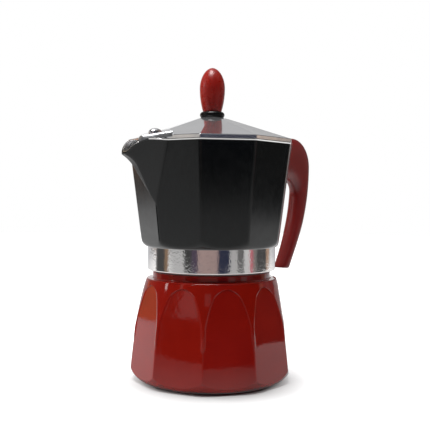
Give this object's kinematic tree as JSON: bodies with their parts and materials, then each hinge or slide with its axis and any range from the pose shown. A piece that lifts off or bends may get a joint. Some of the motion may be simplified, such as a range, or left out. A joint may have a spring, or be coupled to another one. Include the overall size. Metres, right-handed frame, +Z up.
{
  "type": "moka pot",
  "caption": "Stove-top moka pot with a panelled boiler, screw-on beaked collector, hinged lid with knob, side handle, safety valve and coffee basket.",
  "frame": {"origin": "centre of the boiler's underside, on the face the pot stands on", "axes": "+Z up along the pot's axis, +X towards the handle, spout on -X, +Y across"},
  "size_m": [0.1523, 0.0909, 0.1753],
  "materials": {
    "red_paint": "gloss red paint on cast aluminium",
    "black_paint": "satin black paint on cast aluminium, bare collar and rim",
    "polished_metal": "polished",
    "basket_metal": "satin",
    "red_plastic": "satin",
    "knob_plastic": "satin",
    "black_plastic": "satin",
    "seal_rubber": "matt silicone",
    "brass": "turned",
    "steel": "plain"
  },
  "bodies": {
    "boiler": {"boiler": "red_paint", "safety_valve_washer": "seal_rubber", "safety_valve_body": "brass", "safety_valve_spring": "steel", "safety_valve_cap": "brass", "funnel": "basket_metal", "funnel_sieve": "basket_metal"},
    "valve_stem": {"safety_valve_stem": "steel"},
    "seal_pack": {"gasket": "seal_rubber", "sieve_plate": "basket_metal"},
    "collector": {"collector": "black_paint", "riser_column": "basket_metal", "handle": "red_plastic", "handle_screw": "steel", "hinge_pin": "steel"},
    "lid": {"lid": "polished_metal", "knob_collar": "black_plastic", "lid_knob": "knob_plastic", "knob_insert": "brass", "screw_washer": "steel", "knob_screw": "steel"}
  },
  "joints": [
    {"name": "valve_lift", "type": "slide", "parent": "boiler", "child": "valve_stem", "axis": [0.5544, 0.8219, 0.1305], "range_m": [0, 0.0015], "stiffness_N_per_m": 2000, "deforming": ["safety_valve_spring"]},
    {"name": "seal_lift", "type": "slide", "parent": "boiler", "child": "seal_pack", "axis": [0, 0, 1], "range_m": [0, 0.0091]},
    {"name": "collector_turn", "type": "hinge", "parent": "seal_pack", "child": "collector", "pos_m": [0, 0, 0.07], "axis": [0, 0, 1], "range_deg": [0, 1080]},
    {"name": "lid_hinge", "type": "hinge", "parent": "collector", "child": "lid", "pos_m": [0.0545, 0, 0.1335], "axis": [0, 1, 0], "range_deg": [0, 110]}
  ],
  "couplings": [
    {"joint": "seal_lift", "follows": "collector_turn", "m_per_rad": 0.00047746}
  ]
}
